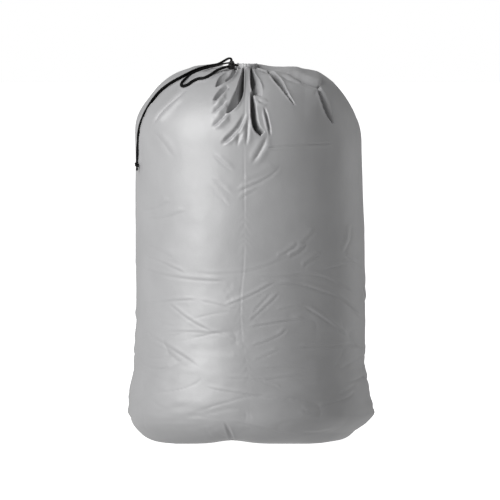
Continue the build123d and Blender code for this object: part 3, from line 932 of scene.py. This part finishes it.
seam_points = np.array([v.co[:] for v in seam_edges.data.vertices])
seam_points = seam_points.reshape(-1, len(SEAM_OFFSETS), 3) / MM
zigzag = np.array([points[2 + 3 * (i % 2)] + (0, 1.0, 0) for i, points in enumerate(seam_points)])
seam_thread = tubes("front_seam_overlock", [zigzag], THREAD_RADIUS, THREAD)
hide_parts("front_seam_thread")

low, high = (np.array(c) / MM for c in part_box("bottom_seam_allowance"))
run = np.linspace(low[0], high[0], 120)
ripple = 0.7 * np.sin(run / 9.0) + 0.4 * np.sin(run / 3.7)
levels = np.linspace(low[2] + 0.3, high[2] - 0.6, 5)
edge_points = [(x, r * (z - low[2]) / 10, z + 0.25 * r) for z in levels for x, r in zip(run, ripple)]
bottom_edges = make_mesh("bottom_seam_edges", edge_points,
                         grid_faces(len(levels), len(run), False), NYLON)
thicken(bottom_edges, 1.4)
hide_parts("bottom_seam_allowance")
stitch_run = [np.array([(x, side * 1.1 + r * 0.5, low[2] + 4.5 + 2.2 * (k % 2))
                        for k, (x, r) in enumerate(zip(run, ripple))]) for side in (-1, 1)]
bottom_thread = tubes("bottom_seam_overlock", stitch_run, THREAD_RADIUS, THREAD)
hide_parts("bottom_seam_thread")


# ---- gathered casing at the neck -----------------------------------------------------
RUFFLES = 17
CASING_COLUMNS = 360
CASING_RADIUS = 20.6
ruffle_turn = np.linspace(0, 2 * math.pi, CASING_COLUMNS, endpoint=False)
phase = ruffle_turn * RUFFLES + 1.4 * np.sin(ruffle_turn * 3 + 0.7)
phase += 0.9 * np.sin(ruffle_turn * 5 + 2.1)
ridges = np.abs(np.sin(phase / 2)) ** 0.75
size_each = 0.75 + 0.35 * np.sin(ruffle_turn * 4 + 1.0) * np.sin(ruffle_turn * 7 + 0.4)
# radius, height and depth of the ruffle for each line from the skirt over the top to the inside
CASING_SECTION = [
    (20.8, 741.5, 3.0), (20.6, 744.5, 2.6), (20.6, 747.2, 1.6), (20.6, 749.6, 0.8), (20.9, 751.4, 0.5),
    (20.9, 753.0, 0.4), (20.4, 753.9, 0.4), (19.4, 754.6, 0.5), (18.2, 754.7, 0.5), (17.0, 754.4, 0.4),
    (16.0, 753.8, 0.3), (15.7, 752.0, 0.4), (15.4, 749.2, 1.0), (14.0, 745.0, 1.6), (12.4, 741.0, 2.0),
]
casing_rows = []
for radius, height, depth in CASING_SECTION:
    inwards = depth * size_each * (1 - ridges) * 1.5 * (1 if height < 748 or radius > 18 else -1)
    sway = 0.6 * np.sin(ruffle_turn * 6 + height)
    r = radius + 0.4 - inwards + 0.2 * sway
    top_share = smooth((height - 751) / 3)
    crest = 1.1 * ridges * size_each + 0.2 * np.sin(ruffle_turn * 2 + 0.5)
    z = height + top_share * crest + 0.2 * sway
    lean = 0.05 * size_each * ridges
    casing_rows.append(np.column_stack([NECK[0] + r * np.cos(ruffle_turn + lean),
                                        NECK[1] + r * np.sin(ruffle_turn + lean), z]))
casing = make_mesh("casing_ruffle", np.vstack(casing_rows),
                   grid_faces(len(CASING_SECTION), CASING_COLUMNS, True), NYLON)
thicken(casing, 0.6)
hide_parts("drawcord_casing")

stitch_row = casing_rows[2]
stitches = []
for k in range(0, CASING_COLUMNS, 6):
    piece = np.array([stitch_row[(k + i) % CASING_COLUMNS] for i in range(5)])
    outwards = unit(piece - (*NECK, 0) - np.array((0, 0, 1)) * piece[:, 2:])
    bow = np.sin(np.linspace(0, math.pi, 5))[:, None]
    stitches.append(piece + outwards * (0.35 + 0.2 * bow))
casing_stitches = tubes("casing_stitches", stitches, 0.28, THREAD)
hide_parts("casing_thread")

exit_low, exit_high = (np.array(c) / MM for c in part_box("cord_exit_stitching"))
exit_middle = (exit_low + exit_high) / 2
out = unit(np.array([exit_middle[0] - NECK[0], exit_middle[1] - NECK[1], 0]))
across_exit = np.array([-out[1], out[0], 0])
HOLE_ACROSS, HOLE_TALL, HOLE_STEPS = 4.3, 3.4, 72               # half sizes of the cord's hole
exit_centre = np.array([NECK[0], NECK[1], exit_middle[2]]) + out * CASING_RADIUS
hole = [exit_centre + across_exit * (HOLE_ACROSS * math.cos(t))
        + np.array((0, 0, HOLE_TALL * math.sin(t))) + out * (0.5 * math.cos(2 * t))
        for t in np.linspace(0, 2 * math.pi, HOLE_STEPS + 1)]
loops = []
for place in hole[:HOLE_STEPS:2]:
    outward = unit(place - exit_centre)
    loops.append(np.array([place - outward * 0.7, place + out * 0.5, place + outward * 0.9]))
exit_edge = tubes("cord_exit_buttonhole", [np.array(hole)] + loops, THREAD_RADIUS, THREAD)
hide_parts("cord_exit_stitching")


# ---- floor, world and lights ---------------------------------------------------------
FLOOR = 180.0                   # half its width in metres
floor_material, floor_tree, floor_shader = new_material("pale_floor")
grain = noise(floor_tree, object_coordinates(floor_tree), 3.0, 2.0)
feed(floor_tree, floor_shader, {
    "Base Color": colour_between(floor_tree, grain, (0.90,) * 3, (0.92,) * 3), "Roughness": 0.9,
    "Emission Color": (1, 1, 1, 1), "Emission Strength": 1.0, "Specular IOR Level": 0.0})
floor_mesh = bpy.data.meshes.new("floor")
corners = [(x * FLOOR, y * FLOOR, 0) for x, y in ((-1, -1), (1, -1), (1, 1), (-1, 1))]
floor_mesh.from_pydata(corners, [], [(0, 1, 2, 3)])
floor_mesh.materials.append(floor_material)
floor = new_object("floor", floor_mesh)
floor.visible_diffuse = False
floor.visible_glossy = False

world = bpy.data.worlds.new("studio")
world.use_nodes = True
bpy.context.scene.world = world
wt = world.node_tree
background = wt.nodes["Background"]
# Plain white where the camera sees it; as light on the sack, a dim room over a pale floor.
direction = node(wt, "ShaderNodeTexCoord").outputs["Generated"]
upward = node(wt, "ShaderNodeSeparateXYZ", {"Vector": direction}).outputs["Z"]
room = node(wt, "ShaderNodeMapRange", {"Value": upward, "From Min": -0.35, "From Max": 0.35,
                                       "To Min": 0.64, "To Max": 0.10}).outputs["Result"]
seen = node(wt, "ShaderNodeLightPath").outputs["Is Camera Ray"]
glow = node(wt, "ShaderNodeMath", {0: room, 1: seen}, operation="MAXIMUM").outputs[0]
feed(wt, background, {"Strength": glow, "Color": (1, 1, 1, 1)})


def area_light(name, place, aim, size, power):
    data = bpy.data.lights.new(name, "AREA")
    data.shape = "RECTANGLE"
    data.size, data.size_y = size
    data.energy = power
    lamp = new_object(name, data)
    lamp.location = place
    lamp.rotation_euler = (Vector(aim) - Vector(place)).to_track_quat("-Z", "Y").to_euler()


area_light("softbox", (-2.15, -2.0, 1.6), (0, 0, 0.5), (1.6, 3.4), 136)
area_light("edge_light", (2.3, 1.0, 0.9), (0, 0, 0.4), (1.8, 2.4), 12)
sun_data = bpy.data.lights.new("overhead", "SUN")
sun_data.energy = 0.5
sun_data.angle = math.radians(60)
sun = new_object("overhead", sun_data)
sun.rotation_euler = (math.radians(-8), math.radians(-6), 0)
bpy.context.scene.view_settings.view_transform = "Standard"
